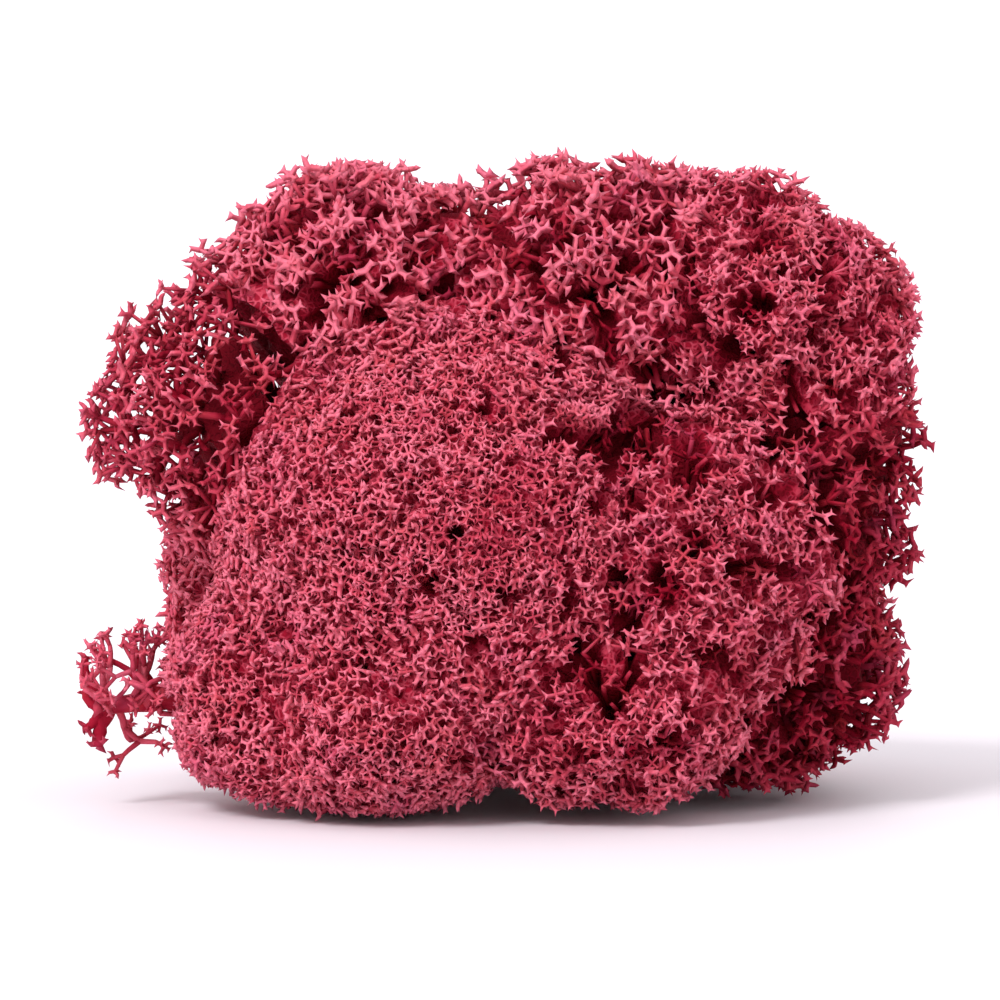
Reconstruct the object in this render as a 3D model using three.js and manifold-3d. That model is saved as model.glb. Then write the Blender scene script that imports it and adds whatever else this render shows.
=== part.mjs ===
import * as THREE from "three";
import { mergeVertices } from "three/addons/utils/BufferGeometryUtils.js";
import Module from "manifold-3d";

// A clump of preserved reindeer lichen, wine red, lying as it was picked.
// Millimetres, +Z up, the crown's fullest side towards -Y, the cut stem ends on the ground.
// Each head is one branching stem: a slim stem, a small core where its twigs meet,
// and star-shaped branchlets that stand out of the core, larger than life.

const wasm = await Module();
wasm.setup();

// Driving dimensions
const STEM_FAN = new THREE.Vector3(3, 38, -10);
const HEAD_CLEARANCE = 0.3;

const STEM_START = 14;
const STEM_ROOT_RADIUS = 1.0;
const STEM_CROWN_RADIUS = 2.6;
const STEM_SIDES = 5;
const STEM_STEPS = 5;
const STEM_SAG = 0.06;
const CHANNEL_ROOM = 0.6;

const BRANCHLET_HEIGHT = 4.4;
const ARM_TIP_HEIGHT = [3.5, 4.8];
const ARM_REACH = [0.62, 0.92];
const FORK_HEIGHT = [1.6, 2.4];
const FORK_RADIUS = 1.15;
const FORK_HUB_RISE = 0.7;
const PIT_DEPTH = 4.5;
const BRANCHLET_SHARE = 0.62;

const CORE_LUMP = 0.025;
const CORE_LUMP_WAVES = new THREE.Vector3(5, 6, 5.5);
const CORE_FOOT = 1.3;

// The net over a crown is a ball split into triangles this many times over, by the crown's radius.
const HEAD_DETAILS = [[25, 3], [18.5, 2], [0, 1]];
const NET_JITTER = 0.07;
const NET_WAVES = [[0, 31, 17], [19, 0, 29], [23, 37, 0]].map((wave) => new THREE.Vector3(...wave));

const WALL_REACH = 4;
const MERGE_RISE = 4.5;
const MERGE_REACH = 13;
const BLOCK_SIZE = 400;
const MERGE = 1e-4;
const SNAP = 0.0005;
const FIRST_SEED = 400;

// Each head's crown: where its middle lies and how wide it is. A head that rests has a flat foot.
const HEADS = [
  { name: "main_dome", middle: [-5, -15, 34], radius: 29 },
  { name: "front_right_shoulder", middle: [22, -22, 31], radius: 18 },
  { name: "upper_right_head", middle: [33, -9, 60], radius: 19 },
  { name: "top_head", middle: [12, -9, 63], radius: 18 },
  { name: "front_left_bulge", middle: [-14, -28, 11], radius: 13, rests: true },
  { name: "front_right_bulge", middle: [14, -27, 12], radius: 15, rests: true },
  { name: "left_foot_head", middle: [-28, -17, 13], radius: 14, rests: true },
  { name: "left_flank_head", middle: [-35, -9, 49], radius: 16 },
  { name: "upper_left_head", middle: [-18, -4, 64], radius: 17 },
  { name: "right_foot_head", middle: [33, -7, 16], radius: 17, rests: true },
  { name: "right_flank_head", middle: [36, -10, 40], radius: 16 },
  { name: "back_top_head", middle: [-2, 19, 50], radius: 21 },
  { name: "back_left_head", middle: [-24, 18, 27], radius: 20, rests: true },
  { name: "back_right_head", middle: [30, 18, 28], radius: 20, rests: true },
  { name: "rear_head", middle: [8, 31, 26], radius: 14 },
];

// The bare stub at the left foot: where each twig starts and ends, and how thick it is there.
const STUB_HEAD = "left_foot_head";
const TWIG_SIDES = 4;
const TWIG_UP = new THREE.Vector3(0.2, 1, 0.1);
const STUB_TWIGS = [
  { from: [-34, -16, 13], to: [-52, -14, 12.5], radii: [2.4, 1.4] },
  { from: [-49, -14, 13.5], to: [-49.5, -14.5, 6.5], radii: [1.5, 1.0] },
  { from: [-51, -14, 12], to: [-52.8, -14, 21.5], radii: [1.2, 0.7] },
  { from: [-41, -14.5, 13], to: [-47, -12, 23], radii: [1.3, 0.8] },
  { from: [-47, -12, 22.5], to: [-52, -13.5, 19], radii: [0.8, 0.6] },
  { from: [-47, -14, 13], to: [-51.5, -13, 17.5], radii: [1.0, 0.6] },
  { from: [-46.8, -12, 22], to: [-48, -10, 26], radii: [0.8, 0.5] },
];

const lichenMaterial = new THREE.MeshStandardMaterial({ color: 0x9c3a4c, roughness: 0.9, metalness: 0 });

function seededRandom(seed) {
  let state = seed;
  return () => {
    state = (state + 0x6d2b79f5) | 0;
    let mixed = Math.imul(state ^ (state >>> 15), 1 | state);
    mixed = (mixed + Math.imul(mixed ^ (mixed >>> 7), 61 | mixed)) ^ mixed;
    return ((mixed ^ (mixed >>> 14)) >>> 0) / 4294967296;
  };
}

function pickBetween([low, high], random) {
  return low + (high - low) * random();
}

// Works out each head's stem line and the walls that it shares with the heads beside it.
// A wall is the plane through the ring in which two round crowns meet.
function prepareHeads() {
  for (const head of HEADS) {
    head.centre = new THREE.Vector3(...head.middle);
    head.coreRadius = head.radius - BRANCHLET_HEIGHT;
    const fromFan = head.centre.clone().sub(STEM_FAN);
    head.distance = fromFan.length();
    head.heading = fromFan.normalize();
  }
  for (const head of HEADS) {
    const beside = HEADS.filter((other) => other !== head
      && other.centre.distanceTo(head.centre) < head.radius + other.radius + WALL_REACH);
    head.beside = beside;
    head.walls = beside.map((other) => wallBetween(head, other));
  }
}

function wallBetween(head, other) {
  const apart = other.centre.distanceTo(head.centre);
  const share = (apart ** 2 + head.radius ** 2 - other.radius ** 2) / (2 * apart ** 2);
  const normal = head.centre.clone().sub(other.centre).normalize();
  return { normal, middle: head.centre.clone().lerp(other.centre, share) };
}

function solidFrom(points, faces) {
  const solid = new wasm.Mesh({
    numProp: 3,
    vertProperties: new Float32Array(points.flatMap((point) => [point.x, point.y, point.z])),
    triVerts: new Uint32Array(faces.flat()),
  });
  return new wasm.Manifold(solid);
}

function solidFromGeometry(geometry) {
  geometry.deleteAttribute("normal");
  geometry.deleteAttribute("uv");
  const merged = mergeVertices(geometry, MERGE);
  const solid = new wasm.Mesh({
    numProp: 3,
    vertProperties: new Float32Array(merged.attributes.position.array),
    triVerts: new Uint32Array(merged.index.array),
  });
  return new wasm.Manifold(solid);
}

// How much a crown rises in a direction towards the crowns beside it, so that they merge softly.
function mergeRise(head, direction) {
  const point = head.centre.clone().addScaledVector(direction, head.radius);
  const shares = head.beside.map((other) => {
    const away = point.distanceTo(other.centre) - other.radius;
    return THREE.MathUtils.clamp(1 - away / MERGE_REACH, 0, 1) ** 2;
  });
  return MERGE_RISE * Math.max(0, ...shares);
}

// A point of a crown's core, which is a lumpy ball. Where its head rests, the lower half
// reaches just under the ground, where it is cut flat.
function corePoint(head, index, direction) {
  const jitter = NET_WAVES.map((wave) => Math.sin(wave.dot(direction) + index));
  const bent = direction.clone().addScaledVector(new THREE.Vector3(...jitter), NET_JITTER).normalize();
  const lump = bent.clone().multiply(CORE_LUMP_WAVES).toArray()
    .reduce((sum, wave, axis) => sum + Math.sin(wave + (axis + 1) * index), 0);
  bent.multiplyScalar(head.coreRadius * (1 + CORE_LUMP * lump) + mergeRise(head, bent));
  if (head.rests && bent.z < 0) {
    bent.z *= (head.centre.z + CORE_FOOT) / head.coreRadius;
  }
  return bent.add(head.centre);
}

// A crown: a net of ridges round the core, each mesh of which holds a branchlet or a pit.
function makeCrown(head, index) {
  const random = seededRandom(FIRST_SEED + index);
  const [, detail] = HEAD_DETAILS.find(([least]) => head.radius > least);
  const net = new THREE.IcosahedronGeometry(1, detail);
  const corners = net.attributes.position;
  const triangles = [];
  for (let first = 0; first < corners.count; first += 3) {
    const rim = [0, 1, 2].map((k) => {
      const direction = new THREE.Vector3().fromBufferAttribute(corners, first + k);
      return corePoint(head, index, direction.normalize());
    });
    const middle = new THREE.Vector3().add(rim[0]).add(rim[1]).add(rim[2]).divideScalar(3);
    const outward = middle.clone().sub(head.centre).normalize();
    const tip = middle.clone().addScaledVector(outward, BRANCHLET_HEIGHT / 2);
    const covered = head.walls.some((wall) => wallDepth(tip, wall) < 0);
    const chance = random();
    if (covered) {
      triangles.push(...rim);
    } else if (chance < BRANCHLET_SHARE) {
      triangles.push(...branchletFaces(rim, middle, outward, random));
    } else {
      triangles.push(...pitFaces(rim, middle.addScaledVector(outward, -PIT_DEPTH)));
    }
  }
  const geometry = new THREE.BufferGeometry().setFromPoints(triangles);
  return solidFromGeometry(geometry);
}

function wallDepth(point, wall) {
  return point.clone().sub(wall.middle).dot(wall.normal) - HEAD_CLEARANCE / 2;
}

function pitFaces(rim, bottom) {
  return [rim[0], rim[1], bottom, rim[1], rim[2], bottom, rim[2], rim[0], bottom];
}

// A branchlet: a stalk drawn up from one mesh of the net, whose top forks into three arms.
function branchletFaces(rim, middle, outward, random) {
  const fork = middle.clone().addScaledVector(outward, pickBetween(FORK_HEIGHT, random));
  const hub = fork.clone().addScaledVector(outward, FORK_HUB_RISE);
  const ring = rim.map((corner, k) => {
    const edge = corner.clone().add(rim[(k + 1) % 3]).divideScalar(2).sub(middle).normalize();
    return fork.clone().addScaledVector(edge, FORK_RADIUS);
  });
  const faces = [];
  for (let k = 0; k < 3; k += 1) {
    const next = (k + 1) % 3;
    const tip = middle.clone().lerp(rim[next], pickBetween(ARM_REACH, random));
    tip.addScaledVector(outward, pickBetween(ARM_TIP_HEIGHT, random));
    faces.push(rim[k], rim[next], ring[k]);
    faces.push(rim[next], ring[next], ring[k]);
    faces.push(ring[k], ring[next], tip, ring[next], hub, tip, hub, ring[k], tip);
  }
  return faces;
}

// Everything past a wall, as one big block.
function makeBeyond(wall) {
  const block = new THREE.BoxGeometry(BLOCK_SIZE, BLOCK_SIZE, BLOCK_SIZE);
  block.translate(0, 0, HEAD_CLEARANCE / 2 - BLOCK_SIZE / 2);
  block.applyQuaternion(new THREE.Quaternion().setFromUnitVectors(new THREE.Vector3(0, 0, 1), wall.normal));
  block.translate(wall.middle.x, wall.middle.y, wall.middle.z);
  return solidFromGeometry(block);
}

// The stem rises from its cut end at the ground to the middle of the core, thicker as it goes.
// With room added to its radius it is the channel that other heads leave for it.
function makeStem(head, room) {
  const side = new THREE.Vector3().crossVectors(head.heading, new THREE.Vector3(0, 0, 1)).normalize();
  const over = new THREE.Vector3().crossVectors(side, head.heading);
  const points = [];
  for (let step = 0; step <= STEM_STEPS; step += 1) {
    const t = step / STEM_STEPS;
    const along = STEM_START + (head.distance - STEM_START) * t;
    const middle = STEM_FAN.clone().addScaledVector(head.heading, along);
    middle.addScaledVector(over, head.distance * STEM_SAG * Math.sin(Math.PI * t) * t);
    const radius = STEM_ROOT_RADIUS + (STEM_CROWN_RADIUS - STEM_ROOT_RADIUS) * t + room;
    points.push(...tubeRing(middle, side, over, radius, STEM_SIDES));
  }
  return solidFrom(points, tubeFaces(STEM_SIDES, STEM_STEPS));
}

// A straight twig.
function makeTwig(twig) {
  const ends = [new THREE.Vector3(...twig.from), new THREE.Vector3(...twig.to)];
  const along = ends[1].clone().sub(ends[0]).normalize();
  const side = new THREE.Vector3().crossVectors(TWIG_UP, along).normalize();
  const over = new THREE.Vector3().crossVectors(side, along);
  const points = ends.flatMap((middle, end) => tubeRing(middle, side, over, twig.radii[end], TWIG_SIDES));
  return solidFrom(points, tubeFaces(TWIG_SIDES, 1));
}

function tubeRing(middle, side, over, radius, sides) {
  return Array.from({ length: sides }, (_, k) => {
    const angle = (k / sides) * 2 * Math.PI;
    return middle.clone()
      .addScaledVector(side, -radius * Math.cos(angle))
      .addScaledVector(over, radius * Math.sin(angle));
  });
}

function tubeFaces(sides, steps) {
  const faces = [];
  for (let step = 0; step < steps; step += 1) {
    for (let k = 0; k < sides; k += 1) {
      const here = step * sides + k;
      const next = step * sides + ((k + 1) % sides);
      faces.push([here, next, next + sides], [here, next + sides, here + sides]);
    }
  }
  const last = steps * sides;
  for (let k = 1; k < sides - 1; k += 1) {
    faces.push([0, k + 1, k], [last, last + k, last + k + 1]);
  }
  return faces;
}

function makeGround() {
  const ground = new THREE.BoxGeometry(BLOCK_SIZE, BLOCK_SIZE, BLOCK_SIZE);
  ground.translate(0, 0, -BLOCK_SIZE / 2);
  return solidFromGeometry(ground);
}

// The largest closed body of a solid, without the scraps that a cut may leave.
function largestBody(solid) {
  const { vertProperties, triVerts } = solid.getMesh();
  const group = Array.from({ length: vertProperties.length / 3 }, (_, vertex) => vertex);
  const find = (vertex) => {
    let root = vertex;
    while (group[root] !== root) {
      root = group[root];
    }
    group[vertex] = root;
    return root;
  };
  for (let i = 0; i < triVerts.length; i += 3) {
    group[find(triVerts[i + 1])] = find(triVerts[i]);
    group[find(triVerts[i + 2])] = find(triVerts[i]);
  }
  const bodies = new Map();
  for (let i = 0; i < triVerts.length; i += 3) {
    const root = find(triVerts[i]);
    const faces = bodies.get(root) ?? [];
    faces.push(triVerts[i], triVerts[i + 1], triVerts[i + 2]);
    bodies.set(root, faces);
  }
  const largest = [...bodies.values()].sort((one, other) => other.length - one.length)[0];
  return { vertProperties, triVerts: largest };
}

// Snaps every corner to a fine grid and drops the slivers that this closes up.
function meshFrom(solid, name) {
  const { vertProperties, triVerts } = largestBody(solid);
  const known = new Map();
  const points = [];
  const snapped = (vertex) => {
    const grid = [0, 1, 2].map((axis) => Math.round(vertProperties[3 * vertex + axis] / SNAP));
    const key = grid.join();
    if (!known.has(key)) {
      known.set(key, points.length / 3);
      points.push(...grid.map((step) => step * SNAP));
    }
    return known.get(key);
  };
  const faces = [];
  for (let i = 0; i < triVerts.length; i += 3) {
    const [one, two, three] = triVerts.slice(i, i + 3).map(snapped);
    if (one !== two && two !== three && three !== one) {
      faces.push(one, two, three);
    }
  }
  const geometry = new THREE.BufferGeometry();
  geometry.setAttribute("position", new THREE.Float32BufferAttribute(points, 3));
  geometry.setIndex(faces);
  const mesh = new THREE.Mesh(geometry, lichenMaterial);
  mesh.name = name;
  return mesh;
}

prepareHeads();
const clump = new THREE.Group();
const ground = makeGround();
HEADS.forEach((head, index) => {
  let solid = makeCrown(head, index);
  for (const wall of head.walls) {
    solid = solid.subtract(makeBeyond(wall));
  }
  for (const other of HEADS.filter((candidate) => candidate !== head)) {
    solid = solid.subtract(makeStem(other, CHANNEL_ROOM));
  }
  solid = solid.add(makeStem(head, 0)).subtract(ground);
  if (head.name === STUB_HEAD) {
    solid = STUB_TWIGS.map(makeTwig).reduce((joined, twig) => joined.add(twig), solid);
  }
  clump.add(meshFrom(solid, head.name));
});

export default clump;
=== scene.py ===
import math
import statistics

import bmesh
import bpy
import numpy as np
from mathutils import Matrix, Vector


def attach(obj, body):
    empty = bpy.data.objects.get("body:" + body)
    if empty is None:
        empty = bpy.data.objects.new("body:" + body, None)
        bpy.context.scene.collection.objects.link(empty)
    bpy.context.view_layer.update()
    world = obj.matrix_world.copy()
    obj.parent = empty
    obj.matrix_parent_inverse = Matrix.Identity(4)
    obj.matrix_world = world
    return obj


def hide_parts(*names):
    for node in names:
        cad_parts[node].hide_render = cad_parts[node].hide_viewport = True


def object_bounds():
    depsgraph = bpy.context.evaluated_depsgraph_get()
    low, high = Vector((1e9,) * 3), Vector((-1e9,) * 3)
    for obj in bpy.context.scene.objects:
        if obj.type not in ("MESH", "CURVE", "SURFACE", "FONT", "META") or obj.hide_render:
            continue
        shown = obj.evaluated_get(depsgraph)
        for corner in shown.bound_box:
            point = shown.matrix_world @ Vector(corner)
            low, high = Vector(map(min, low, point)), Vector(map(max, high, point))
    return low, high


# A clump of preserved reindeer lichen, dyed wine red. Each head is grown here from its stem
# to its star-shaped branch ends, over the same crowns as the frame's solids.
# Sizes of the lichen are in millimetres and are turned to metres as a mesh is made.

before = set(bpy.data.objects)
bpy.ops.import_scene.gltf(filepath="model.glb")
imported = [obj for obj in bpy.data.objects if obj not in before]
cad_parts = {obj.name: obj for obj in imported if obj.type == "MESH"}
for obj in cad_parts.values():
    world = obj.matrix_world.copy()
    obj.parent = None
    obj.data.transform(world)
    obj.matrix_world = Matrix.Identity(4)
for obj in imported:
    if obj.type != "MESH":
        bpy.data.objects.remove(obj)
cad_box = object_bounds()

MM = 0.001
BODY = "root"

# The clump's seed, to which each head adds its number, and a length too small to see, which
# keeps divisions by zero away.
FIRST_SEED = 71
TINY = 1e-6

# How the branchlets of each kind of head grow: how far apart their ends are and how large those
# are, how unevenly far they reach, what share of the surface the gaps take, how deep under the ends
# the close net of twigs lies, how wide that net's meshes are, and how pale the head is, partly its
# own tone and partly painted light and shade: the coarse heads on the right are darker as painted
# shade of neighbouring clumps, and the twisted heads at the top paler as a painted highlight.
GROWTH_KEYS = ("spacing", "size", "ragged", "gaps", "net", "mesh", "paleness_light_and_shade")
GROWTH_ROWS = {
    "fine": (1.25, 0.95, 0.4, 0.08, 2.4, 0.75, 0.25),
    "starry": (1.45, 1.0, 0.6, 0.17, 2.8, 0.8, 0.1),
    # The coarse heads are darker as painted shade of neighbouring clumps, the twisted ones paler as
    # a painted highlight.
    "coarse": (1.9, 1.3, 0.9, 0.32, 4.6, 1.1, -1.3),
    "twisted": (1.9, 1.4, 1.0, 0.3, 4.6, 1.1, 0.5),
    "open": (2.3, 1.2, 1.1, 0.2, 10.5, 1.3, -0.3),
    "behind": (1.7, 1.15, 0.7, 0.15, 2.8, 0.95, 0.0),
}
GROWTHS = {kind: dict(zip(GROWTH_KEYS, row)) for kind, row in GROWTH_ROWS.items()}

# Each head's name, its crown's middle and radius, how it grows, and whether it rests on the
# ground.
HEADS = [
    ("main_dome", (-5, -15, 34), 29, "fine", False),
    ("front_right_shoulder", (22, -22, 31), 18, "starry", False),
    ("upper_right_head", (33, -9, 60), 19, "starry", False),
    ("top_head", (12, -9, 63), 18, "twisted", False),
    ("front_left_bulge", (-14, -28, 11), 13, "fine", True),
    ("front_right_bulge", (14, -27, 12), 15, "starry", True),
    ("left_foot_head", (-28, -17, 13), 14, "fine", True),
    ("left_flank_head", (-35, -9, 49), 16, "open", False),
    ("upper_left_head", (-18, -4, 64), 17, "twisted", False),
    ("right_foot_head", (33, -7, 16), 17, "coarse", True),
    ("right_flank_head", (36, -10, 40), 16, "coarse", False),
    ("back_top_head", (-2, 19, 50), 21, "behind", False),
    ("back_left_head", (-24, 18, 27), 20, "behind", True),
    ("back_right_head", (30, 18, 28), 20, "behind", True),
    ("rear_head", (8, 31, 26), 14, "behind", False),
]

# The large holes of the front, deep and darkened with painted shade: how far to the right, how high
# and how wide each one is.
FRONT_HOLES = [
    (12.5, 45.5, 3.6),
    (18, 47, 3.6),
    (23.5, 45, 3.0),
    (20, 57, 2.8),
    (27, 58, 3.2),
    (30, 64, 2.6),
    (36, 71, 2.0),
    (38, 40, 4.0),
    (42, 32, 3.8),
    (10, 21, 3.0),
    (16, 26, 2.6),
    (34, 16, 4.0),
    (40, 21, 3.4),
    (22, 10, 2.4),
    (-26, 72, 2.4),
    (-17, 75, 2.2),
    (-18, 67, 2.4),
    (-9, 70, 2.6),
    (-7, 64, 3.0),
    (-1, 73, 2.4),
    (4, 66, 2.4),
]

# The crown's form: broad waves round it, whose height is a share of its radius, lobes on them,
# each with a share of the full height, creases between the lobes, and a soft rise towards each
# crown beside it, so that the two merge.
WAVE_HEIGHT = 0.04
WAVES = np.array([5.0, 6.0, 5.5])
WAVE_PHASES = np.array([1, 2, 3])
FEWEST_LOBES = 6
LOBE_SPACING = 11.0
LOBE_JITTER = 0.12
LOBE_HEIGHT = 2.0
LOBE_SHARES = (0.3, 1.0)
LOBE_WIDTH = 0.75
CREASE_DEPTH = 1.4
CREASE_WIDTH = 1.6
MERGE_RISE = 4.5
MERGE_REACH = 13.0

# The walls between crowns: how far apart two crowns may be and still share one, and how far the
# net and the branch ends of each reach past it. Then how near the ground those two come.
WALL_REACH = 4.0
WALL_OVERLAP = 1.3
TIP_OVERLAP = 0.6
FOOT_GAP = 0.5
TIP_FOOT = 1.3

# How close to the frame's box branch ends are drawn in, and by what share.
BOX_ROOM = 2.2
BOX_DRAW = 0.45

# How places are spread over a ball: the area round each one if they are 1 apart, how far they
# are moved at random, the fewest of them, how small the ball may be and how near its middle
# they may come.
CELL_AREA = 0.866
PLACE_JITTER = 0.30
FEWEST_PLACES = 4
CORE_RADIUS = 1.5
LEAST_REACH = 0.5

# The uneven gaps between the branch ends: how many waves their pattern is the sum of, how long
# the waves are and how unevenly they are turned, how sharp a gap's edge is, and how much the
# gaps widen from the clump's middle to its right end and how far off that end is.
GAP_WAVES = 18
GAP_WAVE_LENGTH = (4.0, 9.0)
GAP_WAVE_JITTER = 0.3
GAP_EDGE = 2.6
GAPS_TO_RIGHT = 0.6
CLUMP_REACH = 45.0

# The share of branch ends that a gap and a crease lack, and how far those left in a gap sink and
# how much painted shade darkens them.
GAP_THINNING = 0.8
CREASE_THINNING = 0.3
SUNK_DEPTH = 3.0
GAP_SHADE = 1.6

# How deep the net sinks in a gap or large hole and how unevenly, and how wavy and how steep a
# large hole's edge is.
HOLE_DEPTH = 6.5
HOLE_ROUGHNESS = 0.7
HOLE_WOBBLE = 0.28
HOLE_EDGE = 2.6

# Where a head is open, the depths below its surface of the rings of forks, how far apart the
# forks are there, as a multiple of the branch ends' spacing, and how thick the branches are.
# Then how unevenly deep the forks lie and how far they stay from the walls.
FORK_RINGS = (
    {"depth": 2.8, "apart": 1.75, "radius": 0.30},
    {"depth": 5.8, "apart": 3.1, "radius": 0.45},
)
FORK_WOBBLE = 0.6
FORK_ROOM = 0.3

# The twigs: how deep under the surface the branch ends lie and under the net the roots, how
# thick both are, how much a root is thicker than what it carries, which way twigs point and how
# unevenly, how far under its hub's top a twig ends, as a share of the hub's height, and how
# the branch ends vary in size and the twigs in paleness.
END_DEPTH = 0.9
ROOT_DEPTH = 0.9
END_RADIUS = 0.24
ROOT_RADIUS = 0.6
ROOT_THICKENING = 1.3
AIM_OUTWARD = 0.6
AIM_AHEAD = 0.5
AIM_SPREAD = 0.4
LEAVE_SPREAD = 0.25
HUB_SINK = 0.7
SPRIG_SIZES = (0.8, 1.2)
TONE_SPREAD = 0.25

# A curved twig's handles as a share of its length, and how near upright a twig or a sprig is
# when its ring is set out from another axis.
CURVE_HANDLE = 0.35
STEEP_TWIG = 0.8
STEEP_SPRIG = 0.9

# The close net: how unevenly its corners are spread and how rough it is, how deep it lies where
# crowns merge, from which depth on it never rises there, how rough it is along a wall, how deep its
# meshes are, whose bottoms are darkened with painted shade, how they are chosen, and how near the
# crown's middle it may come.
MESH_JITTER = 0.2
NET_ROUGHNESS = 0.2
WALL_NET_DEPTH = 2.5
OPEN_NET = 8.0
CAP_ROUGHNESS = 1.2
PIT_DEPTH = (0.9, 1.9)
PIT_ROUNDS = 3
NET_CORE = 2.0

# Behind a wall, from this far on, the net keeps only one corner in so many.
HIDDEN_ROOM = 5.0
HIDDEN_STEP = 7

# The depth below the crown's surface from which on the painted shade is darkest.
DEEPEST_SHADE = 8.0

# The point under the ground that all stems fan out from, how far from it they start, and how
# thick they are at their cut ends and in their crowns. A stem ends so far short of its crown's
# middle, as a share of the crown's radius, and sags on its way.
STEM_FAN = np.array([3.0, 38.0, -10.0])
STEM_START = 14.0
STEM_RADII = (1.0, 2.4)
STEM_END = 0.3
STEM_SAG = 0.06
STEM_DIP = 0.5
STEM_TONE = -2.0
STEM_AGE = 0.3
STEM_STEPS = 24
CUT_LENGTH = 0.6
CUT_STEPS = 2
CUT_FLARE = 1.05

# How unevenly thick the bark of stems and of the stub is, and how many sides they have.
BARK = (0.78, 1.18)
THICK_SIDES = 8

# The short twigs that stand off a stem: how many, along which share of it, how long and thick
# they are, which way they point, and how large the branch ends on them are.
STEM_SPURS = 11
SPUR_SHARE = (0.02, 0.5)
SPUR_LENGTH = (1.0, 3.0)
SPUR_RADII = (0.55, 0.3)
SPUR_AHEAD = 0.7
SPUR_SPREAD = 0.6
SPUR_SPRIG = 1.1

# The bare stub at the left foot: where each thick twig starts and ends, how thick it is there,
# and which way it bows. A branch end on it is so many times as large as the twig is thick.
STUB_HEAD = "left_foot_head"
STUB_TWIGS = [
    ((-33, -16, 13), (-50.5, -14, 12.3), (1.8, 1.1), (0, 0.1, 0.2)),
    ((-48.6, -14, 12.5), (-50.2, -14.5, 7.6), (1.0, 0.7), (-0.3, 0, 0.2)),
    ((-49.5, -14, 12.3), (-51.8, -15, 9.9), (0.8, 0.5), (0.2, 0, 0)),
    ((-49.0, -14, 12.5), (-51.8, -14, 19.0), (0.85, 0.4), (-0.6, 0, 0)),
    ((-50, -14, 12.2), (-52.0, -13, 14.5), (0.75, 0.4), (-0.6, 0, 0)),
    ((-41, -14.5, 13), (-46.0, -12, 21.5), (0.85, 0.45), (-0.5, 0, 0)),
    ((-44, -14, 13), (-49.5, -13, 18.5), (0.6, 0.35), (0.5, 0, 0.5)),
]
STUB_STEPS = 8
STUB_TONE = -1.3
STUB_HEART = 0.6
STUB_SPRIG = 2.2

# The shoots that stand on the stub: how many, between which shares of its first twig, and for
# each time they fork how long the next twigs are and how thick at their two ends. Then how
# much the lengths vary, how far the twigs spread, curl and turn upwards, and how far to the
# left they may reach.
SHOOTS = 7
SHOOT_BASE = (0.58, 0.97)
SHOOT_STAGES = ((3.4, (0.6, 0.46)), (2.9, (0.46, 0.37)), (2.6, (0.37, 0.29)), (2.2, (0.29, 0.22)))
SHOOT_LENGTHS = (0.75, 1.25)
SHOOT_SPREAD = 0.75
SHOOT_CURL = 0.35
SHOOT_RISE = 0.3
SHOOT_LIMIT = -51.9
SHOOT_TONE = -0.5
SHOOT_TONE_SPREAD = 0.3
SHOOT_SPRIGS = (0.75, 1.0)

# The branch end that is copied: a hub with arms that bend once, end in a point and carry another
# one at the bend. How many arms each of the modelled ones has, where the middles of the hub's
# sides lie, as shares of its radius and height, and how far the points reach.
ARMS_OF_SPRIGS = (3, 4, 3, 3, 4, 3, 3, 4, 3, 3, 4, 3)
HUB_RADIUS = 0.34
HUB_HEIGHT = 0.5
HUB_SIDE_OUT = 0.35
HUB_SIDE_DOWN = 0.65
ARM_LENGTH = (0.5, 0.85)
ARM_LIFT = (-0.3, 0.9)
ARM_TAPER = 0.85
ARM_BEND = (0.5, 1.3)
ARM_RISE = (-0.6, 0.6)
KNOT_LENGTH = (0.2, 0.32)
KNOT_TAPER = 0.85
TIP_LENGTH = (0.45, 0.85)
TIP_TURN = 0.35
POINT_LENGTH = (0.4, 0.75)
POINT_AHEAD = 0.6
SPRIG_REACH = 1.7


# Small helpers for arrays of points

def unit(vectors):
    return vectors / np.linalg.norm(vectors, axis=-1, keepdims=True)


def between(limits, random):
    return random.uniform(*limits)


def spread_directions(count, random, jitter):
    """Directions spread evenly over a ball, each moved a little."""
    step = np.arange(count) + 0.5
    height = 1 - 2 * step / count
    turn = step * math.pi * (3 - math.sqrt(5)) + random.uniform(0, 2 * math.pi)
    flat = np.sqrt(1 - height ** 2)
    directions = np.stack([flat * np.cos(turn), flat * np.sin(turn), height], axis=1)
    return unit(directions + random.normal(0, jitter, directions.shape))


def places_on_ball(radius, spacing):
    """How many places fit on a ball at a spacing."""
    return round(4 * math.pi * radius ** 2 / (CELL_AREA * spacing ** 2))


def drawn_in(points):
    """Points with those close to the frame's box drawn in, so that the branch ends stay in it."""
    low, high = np.array(cad_box) / MM
    over = np.maximum(points - high + BOX_ROOM, 0)
    under = np.maximum(low + BOX_ROOM - points, 0)
    return points + (under - over) * BOX_DRAW


def nearest(points, parents):
    """For each point the index of the nearest parent."""
    apart = ((points[:, None, :] - parents[None, :, :]) ** 2).sum(axis=2)
    return apart.argmin(axis=1)


def cross_axis(directions, steep):
    """An axis that is well away from each direction: up, or along X where that is steep."""
    return np.where(np.abs(directions[:, 2:]) < steep, [[0.0, 0.0, 1.0]], [[1.0, 0.0, 0.0]])


# The crowns

class GapPattern:
    """An uneven pattern that runs through the whole clump; gaps lie where it is high."""

    def __init__(self, random):
        length = random.uniform(*GAP_WAVE_LENGTH, GAP_WAVES)
        turned = spread_directions(GAP_WAVES, random, GAP_WAVE_JITTER)
        self.waves = turned * (2 * math.pi / length)[:, None]
        self.phases = random.uniform(0, 2 * math.pi, GAP_WAVES)

    def at(self, points):
        """The pattern's value, with a mean of 0 and a spread of 1."""
        return np.sin(points @ self.waves.T + self.phases).sum(axis=1) / math.sqrt(GAP_WAVES / 2)


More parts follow.
